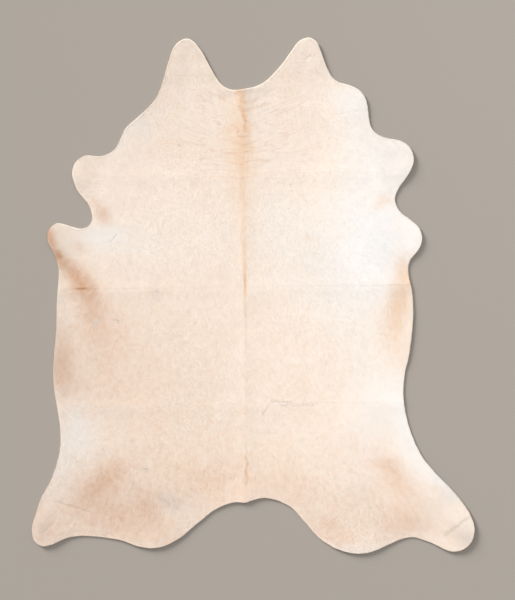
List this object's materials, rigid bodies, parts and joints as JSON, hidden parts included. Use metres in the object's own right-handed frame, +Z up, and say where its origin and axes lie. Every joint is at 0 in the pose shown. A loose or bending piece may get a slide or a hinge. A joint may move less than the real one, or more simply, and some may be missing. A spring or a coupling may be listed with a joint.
{
  "type": "cowhide rug",
  "caption": "Whole natural cowhide rug with short cream hair, lying flat hair side up, with uneven cut edge and soft storage folds.",
  "frame": {"origin": "on the floor that the hide lies on, under the middle of its box", "axes": "+Z up out of the hair side, +Y along the spine towards the neck, +X across to the right flank"},
  "size_m": [1.886, 2.2, 0.0121],
  "materials": {
    "coat": "short cream hair with a soft sheen, tan along the spine and the flanks"
  },
  "bodies": {
    "root": {"hide": "coat"}
  },
  "joints": []
}
